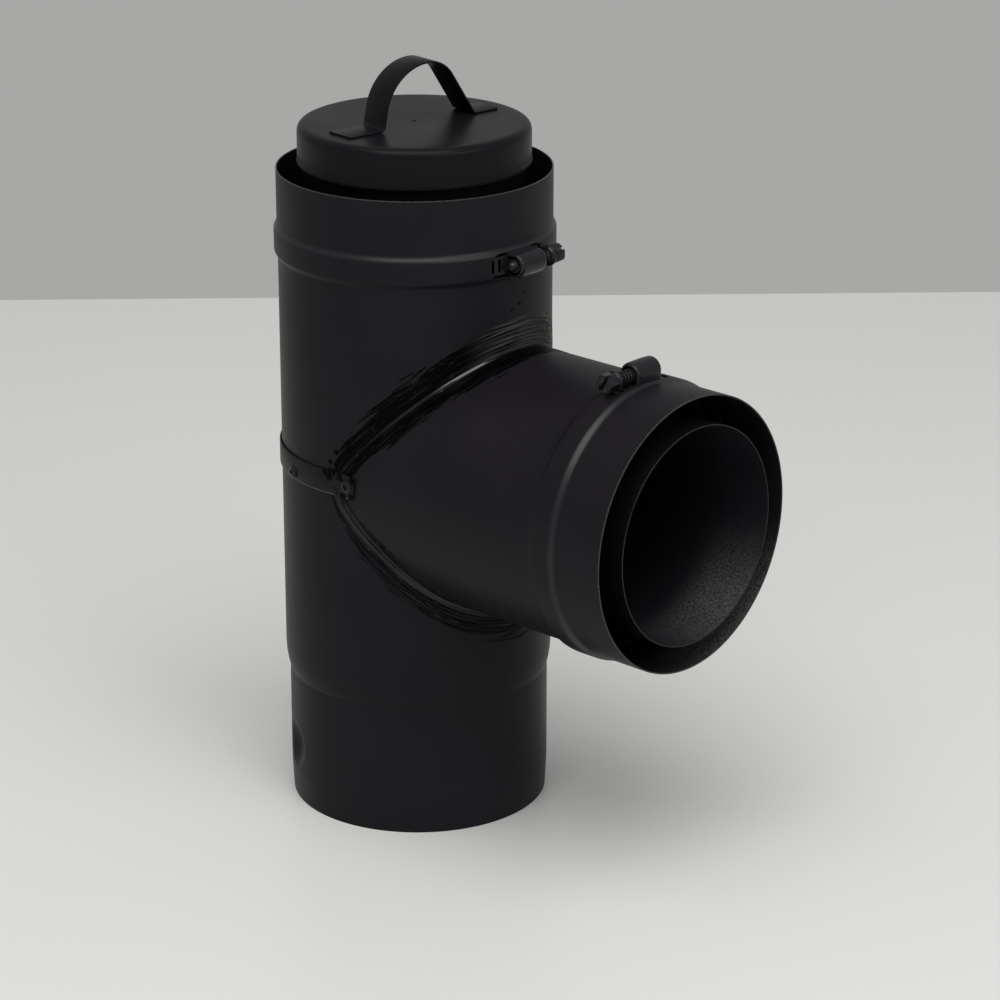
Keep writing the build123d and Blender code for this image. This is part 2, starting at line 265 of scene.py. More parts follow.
def turned(name, line, count, closed=True):
    """Body of revolution about Z from an (across, along) line that runs up its outside."""
    angles = full_turn(count)
    points = [(spot.x * cos(angle), spot.x * sin(angle), spot.y) for spot in line for angle in angles]
    faces = []
    for row in range(len(line) if closed else len(line) - 1):
        faces += ring_faces(row * count, (row + 1) % len(line) * count, count)
    return outward(merge(mesh_piece(name, points, faces)))


# Tubes

def on_main(angle, across, along):
    """Point at an angle round the main tube, with its distance from the axis and its height."""
    return (across * cos(angle), across * sin(angle), along)


def on_branch(angle, across, along):
    """Point at an angle round the branch, with its distance from the axis and its reach."""
    return (along, across * cos(angle), branch_z + across * sin(angle))


def tube_skin(name, line, angles, place, holes=(), start=None, dents=()):
    """Outer skin of a tube whose rows give way to holes, to a saddle and to pressed dents.

    A hole is (centre along, half length at an angle). Rows that would run into a hole or past the
    saddle stop at its edge, so that the edge is smooth.
    """
    points = []
    rows = [spot.y for spot in line]
    for row in rows:
        for angle in angles:
            along = row if start is None else max(row, start(angle))
            for centre, half in holes:
                reach = half(angle)
                if abs(along - centre) < reach:
                    along = centre + (reach if row > centre else -reach)
            across = level_at(line, along)
            for middle, height, radius, depth in dents:
                turn = (angle - middle + pi) % (2 * pi) - pi
                off = ((across * turn) ** 2 + (along - height) ** 2) / radius**2
                if off < 1:
                    across -= depth * (1 - off) ** dimple_fall
            points.append(place(angle, across, along))
    wide = len(angles)
    faces = []
    for i, (below, above) in enumerate(zip(rows, rows[1:])):
        for j, quad in enumerate(ring_faces(i * wide, (i + 1) * wide, wide)):
            sides = (angles[j], angles[(j + 1) % wide])
            if not any(below < centre < above and max(map(half, sides)) > 0 for centre, half in holes):
                faces.append(quad)
    return merge(mesh_piece(name, points, faces))


def ring_angles(count, *extras):
    """Even angles round a tube, with extra ones where an edge needs them."""
    angles = full_turn(count)
    for extra in extras:
        angles.extend(angle % (2 * pi) for angle in extra)
    angles.sort()
    least = 0.01 * mm / mouth_r
    return [a for a, b in zip(angles, angles[1:] + [angles[0] + 2 * pi]) if b - a > least]


def window_half(across):
    """Half width of a bead's round-ended window at a distance across from its middle."""
    over = abs(across) - (window_half_length - window_half_width)
    if over >= window_half_width:
        return 0.0
    return window_half_width if over <= 0 else sqrt(window_half_width**2 - over**2)


def window_angles(middle):
    """Close angles round both ends of a bead's window, from the angle of its middle."""
    end = asin(window_half_length / crest_r)
    start = end * 0.62
    return evenly(middle + start, middle + end, 18), evenly(middle - end, middle - start, 18)


def branch_hole(tube_r, hole_r):
    """Half height, at an angle round a tube, of the hole for its branch."""

    def half(angle):
        across = tube_r * sin(angle)
        return sqrt(hole_r**2 - across**2) if cos(angle) > 0 and abs(across) < hole_r else 0.0

    return half


def saddle(tube_r, side_r):
    """Where a branch starts on its tube, at an angle round the branch."""
    return lambda angle: sqrt(tube_r**2 - (side_r * cos(angle)) ** 2) + saddle_gap


def bead_line(rim, body_r):
    """A female end from the foot of its bead: rolled bead with soft slopes, then the mouth."""
    top = rim - bead_below_rim
    flat_top = top - bead_rim_slope
    flat_low = flat_top - bead_flat
    foot = flat_low - bead_body_slope
    line = []
    for low, high, start, end in ((foot, flat_low, body_r, crest_r), (flat_top, top, crest_r, mouth_r)):
        for t in evenly(0, 1, bead_slope_steps):
            line.append(Vector((start + (end - start) * t * t * (3 - 2 * t), low + (high - low) * t)))
    line.append(Vector((mouth_r, rim)))
    return line


# Shaders

class Wire:
    """A socket that takes part in Python sums, and grows the nodes behind them."""

    def __init__(self, tree, socket=None):
        self.tree = tree
        self.socket = socket

    def node(self, kind, settings=None, sockets=None, output=0):
        """A new node: its kind, its settings, what each socket gets, and the output to go on from."""
        made = self.tree.nodes.new(kind)
        for name, value in (settings or {}).items():
            setattr(made, name, value)
        for key, given in (sockets or {}).items():
            for value in given if isinstance(given, list) else [given]:
                if isinstance(value, Wire):
                    self.tree.links.new(value.socket, made.inputs[key])
                else:
                    made.inputs[key].default_value = value
        return Wire(self.tree, made.outputs[output]) if made.outputs else None

    def beside(self, output):
        """Another output of the node that this socket belongs to."""
        return Wire(self.tree, self.socket.node.outputs[output])

    def maths(self, operation, *terms):
        return self.node("ShaderNodeMath", {"operation": operation}, dict(enumerate(terms)))

    def __add__(self, other):
        return self.maths("ADD", self, other)

    def __radd__(self, other):
        return self.maths("ADD", other, self)

    def __sub__(self, other):
        return self.maths("SUBTRACT", self, other)

    def __rsub__(self, other):
        return self.maths("SUBTRACT", other, self)

    def __mul__(self, other):
        return self.maths("MULTIPLY", self, other)

    def __rmul__(self, other):
        return self.maths("MULTIPLY", other, self)

    def __gt__(self, other):
        return self.maths("GREATER_THAN", self, other)

    def part(self, axis):
        """The X, Y or Z part of this vector."""
        return self.node("ShaderNodeSeparateXYZ", {}, {"Vector": self}, axis)

    def between(self, low, high):
        """0 below low, 1 above high, smooth in between."""
        return self.node(
            "ShaderNodeMapRange",
            {"interpolation_type": "SMOOTHSTEP"},
            {"Value": self, "From Min": low, "From Max": high},
        )

    def cloud(self, scale, detail=2.0, roughness=0.5):
        """Soft noise on this vector, with its scale in waves per metre."""
        return self.node(
            "ShaderNodeTexNoise",
            {},
            {"Vector": self, "Scale": scale, "Detail": detail, "Roughness": roughness},
        )

    def stretched(self, factors):
        """This vector with each part scaled."""
        return self.node("ShaderNodeMapping", {}, {"Vector": self, "Scale": factors})

    def tint(self, first, second):
        """A colour between two, by this value."""
        return self.node("ShaderNodeMix", {"data_type": "RGBA"}, {0: self, 6: first, 7: second}, 2)


def grey(level, warm=0.0):
    return (level * (1 + warm), level, level * (1 - warm), 1)


def soot(level):
    """Near black with the faint violet of the stove paint."""
    return (level * 1.15, level, level * 1.25, 1)


def new_finish(name):
    """An empty material, the start of its nodes, and the place on the object that its patterns read."""
    finish = bpy.data.materials.new(name)
    finish.use_nodes = True
    finish.node_tree.nodes.clear()
    start = Wire(finish.node_tree)
    return finish, start, start.node("ShaderNodeTexCoord", {}, {}, "Object")


def close_finish(start, sockets, bump=None):
    """Principled shader and output for a finish."""
    if bump is not None:
        height, distance, strength = bump
        sockets["Normal"] = start.node(
            "ShaderNodeBump", {}, {"Height": height, "Distance": distance, "Strength": strength}
        )
    shader = start.node("ShaderNodeBsdfPrincipled", {}, sockets)
    start.node("ShaderNodeOutputMaterial", {}, {"Surface": shader})


def from_branch_axis(place):
    """Distance of a place from the branch's axis."""
    across = place.part("Y")
    above = place.part("Z") - branch_z
    return place.maths("SQRT", across * across + above * above)


def painted_light_in_branch_mouth(place):
    """1 low on the inner face of the branch's outer mouth, where a lighter grey is painted as the light falling
    in.
    """
    inner = 1 - from_branch_axis(place).between(mouth_r - 0.45 * mm, mouth_r - 0.3 * mm)
    low = 1 - place.part("Z").between(branch_z - 50 * mm, branch_z - 5 * mm)
    lit_far_side = place.part("Y").between(-25 * mm, 40 * mm)
    return inner * (low * lit_far_side) * place.part("X").between(branch_rim - 34 * mm, branch_rim - 15 * mm)


def stove_paint(
    name,
    level,
    gloss,
    sheen,
    grain=0.05 * mm,
    grain_size=0.7 * mm,
    specks=0.6,
    rims=None,
    shaded_from=None,
    slopes=None,
):
    """Satin black stove paint: fine grain, patchy sheen, a few dust specks, grey rims, painted light and shade.

    A rim is an axis of the frame, with the places along it where the sheet's edge starts and is bare,
    and its grey: rubbed wear on the casing's and flue's rims, a painted highlight on the strap's lower edge.
    Low inside the branch's mouth a lighter grey is painted light. From a distance off the branch's axis on,
    and deep in the flue, the paint is darkened to near black as painted shade. A slope is an axis with
    the two places between which handling has polished the paint.
    """
    finish, start, place = new_finish(name)
    patches = place.cloud(22, 3.0)
    smears = place.stretched((60, 60, 14)).cloud(1.0, 4.0, 0.6)
    pebbles = place.cloud(1 / grain_size, 3.0, 0.6)
    cell = start.node("ShaderNodeTexVoronoi", {}, {"Vector": place, "Scale": 75.0}, "Distance")
    chance = start.node("ShaderNodeSeparateColor", {}, {"Color": cell.beside("Color")})
    dust = (1 - cell.between(0.008, 0.016)) * (chance > 1 - 0.1 * specks)
    shade = (patches * 0.5 + pebbles * 0.5).between(0.25, 0.75)
    colour = shade.tint(soot(level * 0.8), soot(level * 1.2))
    colour = dust.tint(colour, grey(0.2))
    # Painted light: a lighter grey low inside the branch's mouth, with the grain, where light falls in.
    painted_mouth_light = painted_light_in_branch_mouth(place) * pebbles.between(0.3, 0.7)
    colour = painted_mouth_light.tint(colour, grey(0.11))
    # Painted shade: the flue's outer face in the gap under the casing, and the flue deep inside, darkened to near
    # black.
    if shaded_from is not None:
        painted_gap_shade = from_branch_axis(place).between(shaded_from - 0.1 * mm, shaded_from)
        deep = 1 - place.part("X").between(branch_rim - 80 * mm, branch_rim - 10 * mm)
        colour = start.maths("MAXIMUM", painted_gap_shade, deep).tint(colour, soot(level * 0.25))
    # Rim greys: rubbed wear on the casing's and flue's rims; on the strap's lower edge a painted highlight.
    for axis, (edge, bare, rub) in (rims or {}).items():
        rubbed = place.part(axis).between(edge, bare) * pebbles.between(0.3, 0.55)
        colour = rubbed.tint(colour, grey(rub))
    rough = gloss + (patches - 0.5) * 0.12 + (smears - 0.5) * 0.1 + (pebbles - 0.5) * 0.12
    polished = 0.0
    for axis, (low, high) in (slopes or {}).items():
        along = place.part(axis)
        middle = (low + high) / 2
        polished = along.between(low, middle) * (1 - along.between(middle, high)) + polished
    close_finish(
        start,
        {
            "Base Color": colour,
            "Roughness": rough,
            "Specular IOR Level": sheen,
            "Coat Weight": polished * 0.45,
            "Coat Roughness": 0.34,
        },
        (pebbles, grain, 0.5),
    )
    return finish


def worn_paint(name, level, gloss, metal):
    """Painted steel of small hardware, rubbed through in places."""
    finish, start, place = new_finish(name)
    rubbed = place.cloud(420, 4.0, 0.65).between(0.6, 0.72) * metal
    pebbles = place.cloud(1500, 2.0)
    colour = rubbed.tint(soot(level), grey(0.16, 0.02))
    rough = gloss - rubbed * 0.12 + (pebbles - 0.5) * 0.2
    close_finish(
        start,
        {"Base Color": colour, "Roughness": rough, "Metallic": rubbed, "Specular IOR Level": 0.22},
        (pebbles, 0.04 * mm, 0.4),
    )
    return finish


def brushed_sealant(name):
    """Black sealant dragged along the seam: streaked film, wet in the corner, painted grey reflection at the
    crown.
    """
    finish, start, place = new_finish(name)
    along = start.node("ShaderNodeUVMap", {"uv_map": "seam"}, {})
    away = along.part("Y")
    across = place.part("Y")
    bristles = along.stretched((40, 1500, 1)).cloud(1.0, 3.0, 0.6)
    broad = along.stretched((20, 520, 1)).cloud(1.0, 2.0, 0.5)
    drops = along.stretched((160, 1300, 1)).cloud(1.0, 2.0, 0.5)
    off = start.maths("ABSOLUTE", away)
    below = 1 - place.part("Z").between(branch_z - 14 * mm, branch_z + 4 * mm)
    streaks = bristles.between(0.54, 0.66)
    dashes = drops.between(0.66, 0.72)
    corner = 1 - off.between(0.4 * mm, 1.0 * mm)
    smear = (1 - off.between(1.8 * mm, 3.4 * mm)) * below * broad.between(0.4, 0.6)
    # Painted reflection: grey streaks at the crown stand in for the light that the sealant reflects there.
    painted_crown_sheen = 1 - start.maths("ABSOLUTE", across).between(6 * mm, 30 * mm)
    painted_crown_sheen = painted_crown_sheen * (1 - below) * bristles.between(0.36, 0.6) * (1 - away.between(-2 * mm, 1 * mm))
    colour = streaks.tint(soot(0.0007), soot(0.008))
    colour = (below * bristles.between(0.4, 0.66)).tint(colour, soot(0.016))
    colour = smear.tint(colour, grey(0.035))
    colour = painted_crown_sheen.tint(colour, grey(0.05))
    shine = across.between(-60 * mm, -48 * mm) * (1 - across.between(-20 * mm, -8 * mm)) * (1 - below)
    wet = start.maths("MAXIMUM", corner * (0.15 + shine * 0.85), dashes * 0.8)
    rough = 0.4 - wet * 0.14 + (broad - 0.5) * 0.2
    close_finish(
        start,
        {
            "Base Color": colour,
            "Roughness": rough,
            "Specular IOR Level": 0.03,
            "Coat Weight": wet,
            "Coat Roughness": 0.06,
        },
        (bristles * 0.6 + broad, 0.12 * mm, 0.7),
    )
    return finish


def spacer_strip(name):
    """Dull dark strip with a faint spangle."""
    finish, start, place = new_finish(name)
    spangle = start.node("ShaderNodeTexVoronoi", {}, {"Vector": place, "Scale": 300.0}, "Color")
    flake = start.node("ShaderNodeSeparateColor", {}, {"Color": spangle})
    dull = place.cloud(200, 3.0)
    colour = flake.tint(grey(0.035), grey(0.065))
    close_finish(
        start,
        {"Base Color": colour, "Roughness": 0.38 + dull * 0.25, "Metallic": 0.8},
        (dull, 0.03 * mm, 0.3),
    )
    return finish


def bare_edge(rim, rub):
    """A rim of the casing, rubbed to a grey on the sheet's edge."""
    return rim - 0.4 * mm, rim - 0.15 * mm, rub


def rim_slope(rim):
    """The two ends of a bead's slope towards its rim."""
    top = rim - bead_below_rim
    return top - bead_rim_slope - 0.4 * mm, top + 0.4 * mm


casing_paint = stove_paint(
    "casing_paint",
    level=0.0088,
    gloss=0.4,
    sheen=0.085,
    rims={"Z": bare_edge(main_rim, 0.06), "X": bare_edge(branch_rim, 0.05)},
    slopes={"Z": rim_slope(main_rim), "X": rim_slope(branch_rim)},
)
strap_paint = stove_paint(
    "strap_paint",
    level=0.0088,
    gloss=0.4,
    sheen=0.085,
    # Painted highlight: a lighter grey on the strap's lower edge, where it faces the bright floor.
    rims={"Z": (strap_low.z + 0.55 * mm, strap_low.z + 0.3 * mm, 0.16)},
)
flue_paint = stove_paint(
    "flue_paint",
    level=0.011,
    gloss=0.5,
    sheen=0.07,
    grain=0.09 * mm,
    grain_size=0.8 * mm,
    specks=0.15,
    rims={"X": (inner_branch_high.x - 0.4 * mm, inner_branch_high.x - 0.1 * mm, 0.025)},
    # Painted shade on the flue's outer face in the gap and deep inside.
    shaded_from=inner_branch_r - 0.15 * mm,
)
cap_paint = stove_paint(
    "cap_paint", level=0.0055, gloss=0.34, sheen=0.09, grain=0.04 * mm, grain_size=0.6 * mm, specks=0.5
)
clip_paint = worn_paint("clip_paint", level=0.01, gloss=0.28, metal=0.06)
screw_paint = worn_paint("screw_paint", level=0.009, gloss=0.26, metal=0.15)
rivet_paint = worn_paint("rivet_paint", level=0.008, gloss=0.26, metal=0.1)
sealant = brushed_sealant("sealant")
spacer_steel = spacer_strip("spacer_steel")


# Rules: Geometry Nodes trees for what repeats or follows a path

def new_rule(name, inputs):
    """An empty tree with named inputs, and its input sockets by name."""
    tree = bpy.data.node_groups.new(name, "GeometryNodeTree")
    tree.interface.new_socket("Geometry", in_out="INPUT", socket_type="NodeSocketGeometry")
    for label, kind in inputs.items():
        tree.interface.new_socket(label, in_out="INPUT", socket_type="NodeSocket" + kind)
    tree.interface.new_socket("Geometry", in_out="OUTPUT", socket_type="NodeSocketGeometry")
    start = Wire(tree)
    first = start.node("NodeGroupInput", {}, {}, "Geometry")
    return tree, start, {label: first.beside(label) for label in ("Geometry", *inputs)}


def close_rule(start, shape, finish):
    """Realize, paint and hand out what a tree has made."""
    real = start.node("GeometryNodeRealizeInstances", {}, {"Geometry": shape})
    painted = start.node("GeometryNodeSetMaterial", {}, {"Geometry": real, "Material": finish})
    start.node("NodeGroupOutput", {}, {"Geometry": painted})


def follow(piece, tree, values, crease=radians(35)):
    """Run a tree on a piece with these inputs, and keep the result as a plain mesh."""
    rule = piece.modifiers.new(tree.name, "NODES")
    rule.node_group = tree
    for item in tree.interface.items_tree:
        if item.in_out == "INPUT" and item.name in values:
            rule[item.identifier] = values[item.name]
    return settle(piece, crease)


def strip_rule():
    """Sheet strip with eased edges that follows a path laid flat."""
    tree, start, given = new_rule(
        "strip_along_path", {"Width": "Float", "Sheet": "Float", "Edge": "Float", "Finish": "Material"}
    )
    path = start.node("GeometryNodeMeshToCurve", {}, {"Mesh": given["Geometry"]})
    level = start.node("GeometryNodeSetCurveNormal", {"mode": "Z_UP"}, {"Curve": path})
    section = start.node(
        "GeometryNodeCurvePrimitiveQuadrilateral", {}, {"Width": given["Sheet"], "Height": given["Width"]}
    )
    section = start.node(
        "GeometryNodeFilletCurve", {"mode": "POLY"}, {"Curve": section, "Count": 2, "Radius": given["Edge"]}
    )
    strip = start.node(
        "GeometryNodeCurveToMesh", {}, {"Curve": level, "Profile Curve": section, "Fill Caps": True}
    )
    close_rule(start, strip, given["Finish"])
    return tree


def slot_rule():
    """Worm slots punched through a band at even steps round an arc."""
    tree, start, given = new_rule(
        "worm_slots",
        {
            "Count": "Int",
            "Radius": "Float",
            "First Angle": "Float",
            "Arc": "Float",
            "Slot": "Vector",
            "Finish": "Material",
        },
    )
    arc = start.node(
        "GeometryNodeCurveArc",
        {"mode": "RADIUS"},
        {
            "Resolution": 96,
            "Radius": given["Radius"],
            "Start Angle": given["First Angle"],
            "Sweep Angle": given["Arc"],
        },
    )
    spots = start.node(
        "GeometryNodeCurveToPoints", {"mode": "COUNT"}, {"Curve": arc, "Count": given["Count"]}, "Points"
    )
    punch = start.node("GeometryNodeMeshCube", {}, {"Size": given["Slot"]})
    punches = start.node(
        "GeometryNodeInstanceOnPoints",
        {},
        {"Points": spots, "Instance": punch, "Rotation": spots.beside("Rotation")},
    )
    punches = start.node("GeometryNodeRealizeInstances", {}, {"Geometry": punches})
    cut = start.node(
        "GeometryNodeMeshBoolean",
        {"operation": "DIFFERENCE"},
        {"Mesh 1": given["Geometry"], "Mesh 2": punches},
    )
    close_rule(start, cut, given["Finish"])
    return tree


def rivet_rule():
    """One head on each point, turned to the point's own outward direction."""
    tree, start, given = new_rule("rivets_on_points", {"Head": "Object", "Finish": "Material"})
    head = start.node("GeometryNodeObjectInfo", {}, {"Object": given["Head"]}, "Geometry")
    facing = start.node(
        "GeometryNodeInputNamedAttribute", {"data_type": "FLOAT_VECTOR"}, {"Name": "outward"}
    )
    turn = start.node("FunctionNodeAlignRotationToVector", {"axis": "Z"}, {"Vector": facing})
    heads = start.node(
        "GeometryNodeInstanceOnPoints",
        {},
        {"Points": given["Geometry"], "Instance": head, "Rotation": turn},
    )
    close_rule(start, heads, given["Finish"])
    return tree


def thread_rule():
    """Rolled worm thread: a ridge wound up a helix."""
    tree, start, given = new_rule(
        "worm_thread",
        {"Radius": "Float", "Length": "Float", "Turns": "Float", "Ridge": "Float", "Finish": "Material"},
    )
    helix = start.node(
        "GeometryNodeCurveSpiral",
        {},
        {
            "Resolution": 28,
            "Rotations": given["Turns"],
            "Start Radius": given["Radius"],
            "End Radius": given["Radius"],
            "Height": given["Length"],
        },
    )
    level = start.node("GeometryNodeSetCurveNormal", {"mode": "Z_UP"}, {"Curve": helix})
    ridge = start.node(
        "GeometryNodeCurvePrimitiveCircle", {"mode": "RADIUS"}, {"Resolution": 8, "Radius": given["Ridge"]}
    )
    wound = start.node(
        "GeometryNodeCurveToMesh", {}, {"Curve": level, "Profile Curve": ridge, "Fill Caps": True}
    )
    both = start.node("GeometryNodeJoinGeometry", {}, {"Geometry": [wound, given["Geometry"]]})
    close_rule(start, both, given["Finish"])
    return tree


strip_along_path = strip_rule()
worm_slots = slot_rule()
rivets_on_points = rivet_rule()
worm_thread = thread_rule()


def strip_piece(name, path, width, sheet, edge, finish, place=Matrix()):
    """A strip along points laid flat, put in its place."""
    runs = [(spot, spot + 1) for spot in range(len(path) - 1)]
    piece = mesh_piece(name, [(x, y, 0) for x, y in path], [], runs)
    follow(piece, strip_along_path, {"Width": width, "Sheet": sheet, "Edge": edge, "Finish": finish})
    outward(piece)
    piece.data.transform(place)
    return piece


# Outer casing

def outer_main_tube():
    hole_r = branch_r - outer_wall
    hole_end = asin(hole_r / main_r)
    step = main_r - male_r
    shoulder = [
        (main_r - step * (1 - t) ** 2, male_top + swage_length * t, 5 * mm) for t in (0.12, 0.3, 0.6, 1.0)
    ]
    corners = [
        (male_r - lead_in_step, 0, 0),
        (male_r, lead_in_top, 60 * mm),
        (male_r, male_top - 4.5 * mm, 10 * mm),
        (male_r - fold_depth, male_top - 0.4 * mm, 0.9 * mm),
        *shoulder,
        (main_r, branch_z, 0),
    ]

    def longest_run(height):
        if dimple_zone[0] < height < dimple_zone[1]:
            return 1.0 * mm
        return 4 * mm if height > main_rim - 50 * mm else 8 * mm

    def window(angle):
        return window_half(crest_r * sin(angle)) if cos(angle) > 0 else 0.0

    line = divided(rounded(corners) + bead_line(main_rim, main_r), longest_run)
    angles = ring_angles(256, (hole_end, -hole_end), *window_angles(0))
    holes = ((branch_z, branch_hole(main_r, hole_r)), (top_screw_at.z, window))
    skin = tube_skin("outer_main_tube_sheet", line, angles, on_main, holes, None, dimples)
    thicken(skin, outer_wall, outer_edge)
    dress(skin, "tee_body", "casing_paint", casing_paint, "outer_main_tube")


def outer_branch_tube():
    def window(angle):
        return window_half(crest_r * cos(angle)) if sin(angle) > 0 else 0.0

    line = [Vector((branch_r, 8 * mm)), *bead_line(branch_rim, branch_r)]
    line = divided(line, lambda reach: 4 * mm)
    angles = ring_angles(288, *window_angles(pi / 2))
    holes = ((branch_screw_at.x, window),)
    skin = tube_skin("outer_branch_tube_sheet", line, angles, on_branch, holes, saddle(main_r, branch_r))
    thicken(skin, outer_wall, outer_edge)
    dress(skin, "tee_body", "casing_paint", casing_paint, "outer_branch_tube")


# Inner flue

def inner_main_tube():
    hole_r = inner_branch_r - inner_wall
    hole_end = asin(hole_r / inner_r)
    swaged_r = inner_r - inner_male_step
    corners = [
        (swaged_r, 0, 0),
        (swaged_r, male_top, inner_swage_round),
        (inner_r, male_top + swage_length, inner_swage_round),
        (inner_r, inner_high.z, 0),
    ]
    line = divided(rounded(corners), lambda height: 7 * mm)
    angles = ring_angles(192, (hole_end, -hole_end))
    holes = ((branch_z, branch_hole(inner_r, hole_r)),)
    skin = tube_skin("inner_main_tube_sheet", line, angles, on_main, holes)
    thicken(skin, inner_wall, inner_edge)
    dress(skin, "tee_body", "flue_paint", flue_paint, "inner_main_tube")


def inner_branch_tube():
    line = [Vector((inner_branch_r, 4 * mm)), Vector((inner_branch_r, inner_branch_high.x))]
    line = divided(line, lambda reach: 5 * mm)
    start = saddle(inner_r, inner_branch_r)
    skin = tube_skin("inner_branch_tube_sheet", line, ring_angles(240), on_branch, (), start)
    thicken(skin, inner_wall, inner_edge)
    dress(skin, "tee_body", "flue_paint", flue_paint, "inner_branch_tube")


# Saddle strap and its rivets
strap_z = (strap_low.z + strap_high.z) / 2
strap_width = strap_high.z - strap_low.z
strap_mid_r = strap_high.y - strap_sheet / 2
strap_bend = radians(1.5)
tab_y = branch_r + strap_gap + strap_sheet / 2
tab_round = 4.2 * mm
body_rivet_angle = radians(109)
body_rivet_drop = 2.2 * mm


def saddle_strap():
    turn = asin(tab_y / strap_mid_r) + strap_bend
    arc = [(strap_mid_r * cos(a), strap_mid_r * sin(a)) for a in evenly(turn, 2 * pi - turn, 150)]
    tab = [(strap_high.x - tab_round * t * t, tab_y) for t in evenly(0, 1, 8)]
    path = [*tab, *arc, *[(x, -y) for x, y in reversed(tab)]]
    strap = strip_piece("saddle_strap_strip", path, strap_width, strap_sheet, 0.4 * mm, strap_paint)
    corner = strap_high.x - tab_round
    for spot in strap.data.vertices:
        over = min(max(0.0, spot.co.x - corner), tab_round)
        limit = strap_width / 2 - tab_round + sqrt(tab_round**2 - over**2)
        spot.co.z = strap_z + spot.co.z * limit / (strap_width / 2)
    dress(strap, "tee_body", "casing_paint", strap_paint, "saddle_strap")


def rivet_head():
    """Domed head of a blind rivet about Z, with the hollow that its pin left."""
    head_r, head_height, eye_r, eye_depth = 3.0 * mm, 1.3 * mm, 1.1 * mm, 1.2 * mm
    line = rounded(
        [
            (head_r - 0.15 * mm, -0.4 * mm, 0),
            (head_r, 0.1 * mm, 0.2 * mm),
            (head_r, 0.4 * mm, 0.5 * mm),
            (head_r * 0.7, head_height * 0.86, 2.5 * mm),
            (eye_r + 0.15 * mm, head_height, 0.4 * mm),
            (eye_r, head_height - 0.3 * mm, 0.2 * mm),
            (eye_r, head_height - eye_depth, 0.2 * mm),
            (0, head_height - eye_depth - 0.1 * mm, 0),
        ],
        4,
    )
    return turned("rivet_head", line, 28, closed=False)


def strap_rivets():
    head = rivet_head()
    spots, facing = [], []
    for side in (1, -1):
        angle = side * body_rivet_angle
        face = Vector((cos(angle), sin(angle), 0))
        spots.append(face * strap_high.y + Vector((0, 0, strap_z - body_rivet_drop)))
        facing.append(face)
        spots.append(Vector((strap_high.x - tab_round, side * (tab_y + strap_sheet / 2), strap_z)))
        facing.append(Vector((0, side, 0)))
    rivets = mesh_piece("strap_rivet_heads", spots, [])
    outwards = rivets.data.attributes.new("outward", "FLOAT_VECTOR", "POINT")
    outwards.data.foreach_set("vector", [part for face in facing for part in face])
    follow(rivets, rivets_on_points, {"Head": head, "Finish": rivet_paint}, radians(50))
    bpy.data.objects.remove(head)
    dress(rivets, "tee_body", "rivet_paint", rivet_paint, "strap_rivets")


# Brushed sealant along the seam: its reach on each tube, at the strap and at the crown
body_width = (5 * mm, 19 * mm)
branch_width = (4 * mm, 16.5 * mm)
fillet_reach = 3.4 * mm
ridge_height = 0.22 * mm
ridge_reach = 0.6 * mm
film_mean = 0.17 * mm
film_sink = 0.3 * mm
strap_cover = 7 * mm
climb_run = 0.9 * mm
on_strap = strap_gap + strap_sheet


def seam_frame(angle):
    """Seam point at an angle round the branch, with its run on each developed tube."""
    across = branch_r * cos(angle)
    out = sqrt(main_r**2 - across**2)
    body_run = Vector((-branch_r * sin(angle) * main_r / out, branch_r * cos(angle))).normalized()
    branch_run = Vector((branch_r, across * branch_r * sin(angle) / out)).normalized()
    return across, out, body_run, branch_run


def seam_point(angle, away, lift):
    """Point at a distance from the seam: on the body where away is below 0, else on the branch."""
    across, out, body_run, branch_run = seam_frame(angle)
    height = branch_z + branch_r * sin(angle)
    if away < 0:
        turn = asin(across / main_r) - away * body_run.y / main_r
        height += away * body_run.x
        return Vector(on_main(turn, main_r + lift, height))
    turn = angle - away * branch_run.y / branch_r
    return Vector(on_branch(turn, branch_r + lift, out + away * branch_run.x))


def skin_point(angle, away, film):
    """Point of the sealant's skin: on a tube, or near the seam on the fillet between the two."""
    if abs(away) >= fillet_reach:
        return seam_point(angle, away, film)
    start, corner, end = (seam_point(angle, off, film) for off in (-fillet_reach, 0, fillet_reach))
    return eased(start, corner, end, (away / fillet_reach + 1) / 2)


def strap_climb(height):
    """How far the sealant stands on the strap at a height: 0 beside it, 1 on it."""
    over = strap_width / 2 + climb_run - abs(height - strap_z)
    return min(1.0, max(0.0, over / climb_run))


def film_height(length, away, share, ends, seed):
    """Height of the brushed film: a ridge in the corner that thins to ragged streaks and ends."""
    broad = noise.noise(Vector((length / (18 * mm), away / (1.5 * mm), seed)))
    fine = noise.noise(Vector((length / (10 * mm), away / (0.6 * mm), seed + 5)))
    edge = abs(share) + 0.3 * broad + 0.2 * fine - 0.66
    film = film_mean + 0.14 * mm * broad + 0.07 * mm * fine
    film += ridge_height * exp(-((away / ridge_reach) ** 2)) * (1 + 0.5 * broad)
    film -= max(0.0, edge) * 2.4 * mm
    film -= max(0.0, 1 - ends + 0.4 * broad) * 0.4 * mm
    return max(film, -0.22 * mm)


def lay_seam_map(piece, coords):
    """UV map of each point's place along the seam and off it."""
    layer = piece.data.uv_layers.new(name="seam")
    layer.data.foreach_set("uv", [part for loop in piece.data.loops for part in coords[loop.vertex_index]])


